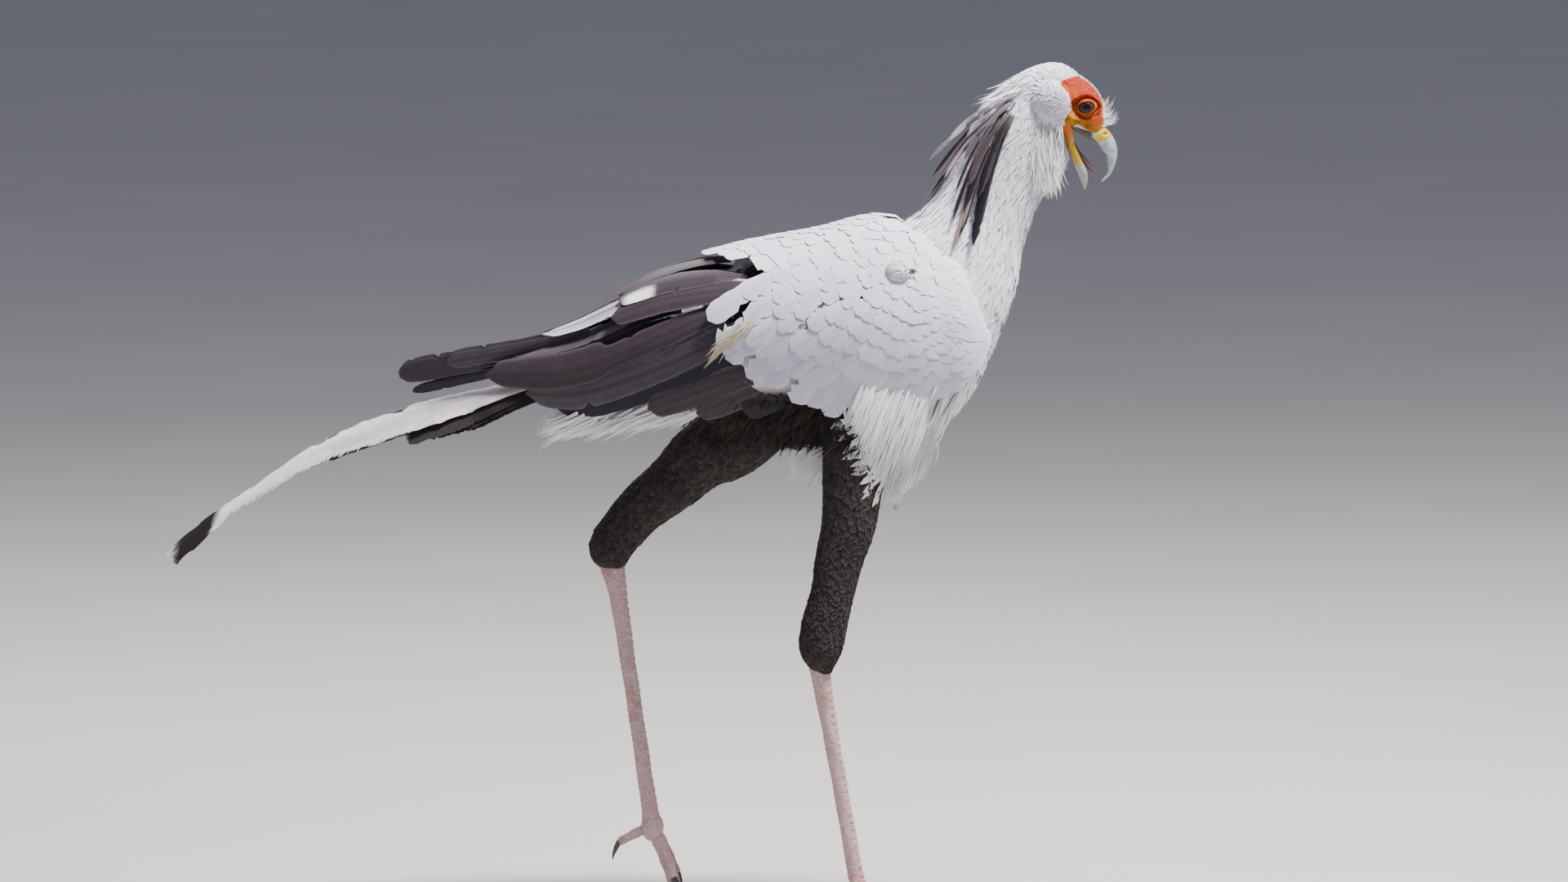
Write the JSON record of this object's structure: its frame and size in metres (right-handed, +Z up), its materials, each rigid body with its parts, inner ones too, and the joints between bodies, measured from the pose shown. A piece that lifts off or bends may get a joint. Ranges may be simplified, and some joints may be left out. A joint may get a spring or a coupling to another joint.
{
  "type": "secretary bird",
  "caption": "Life-size still model of a secretary bird in mid stride, crest hanging, bill open, long tail feather trailing, for display.",
  "frame": {"origin": "centre of the bounding box in X and Y, at the floor under the feet", "axes": "+X the way the bird walks, +Y its left side, +Z up"},
  "size_m": [1.0424, 0.2048, 0.947],
  "materials": {
    "plumage": "soft matt white feathers with a cool lilac grey in the shade",
    "flight_feathers": "matt dark brown black feathers with a faint purple sheen",
    "crest_feathers": "matt black and slate feathers",
    "tail_feathers": "pale grey and black feathers with a white tip",
    "trouser_feathers": "fluffy black feathers with fine pale edges",
    "bare_skin": "bare orange skin, red above and yellow in front, fine wrinkles",
    "cere": "smooth yellow skin",
    "eye": "wet dark brown",
    "bill_horn": "smooth blue grey horn, yellow along the lower jaw",
    "tongue": "wet dull pink",
    "leg_skin": "scaly pink mauve skin",
    "claw_horn": "dark horn"
  },
  "bodies": {
    "root": {"head": "plumage", "face_right": "bare_skin", "face_left": "bare_skin", "eye_right": "eye", "eye_left": "eye", "cere": "cere", "bill_upper": "bill_horn", "bill_lower": "bill_horn", "tongue": "tongue", "nape": "plumage", "crest": "crest_feathers", "neck": "plumage", "torso": "plumage", "tail": "tail_feathers", "wing_right_coverts": "plumage", "wing_right_flight": "flight_feathers", "wing_left_coverts": "plumage", "wing_left_flight": "flight_feathers", "thigh_right": "trouser_feathers", "shank_right": "leg_skin", "foot_right": "leg_skin", "toe_right_1": "leg_skin", "claw_right_1": "claw_horn", "toe_right_2": "leg_skin", "claw_right_2": "claw_horn", "toe_right_3": "leg_skin", "claw_right_3": "claw_horn", "toe_right_4": "leg_skin", "claw_right_4": "claw_horn", "thigh_left": "trouser_feathers", "shank_left": "leg_skin", "foot_left": "leg_skin", "toe_left_1": "leg_skin", "claw_left_1": "claw_horn", "toe_left_2": "leg_skin", "claw_left_2": "claw_horn", "toe_left_3": "leg_skin", "claw_left_3": "claw_horn", "toe_left_4": "leg_skin", "claw_left_4": "claw_horn"}
  },
  "joints": []
}
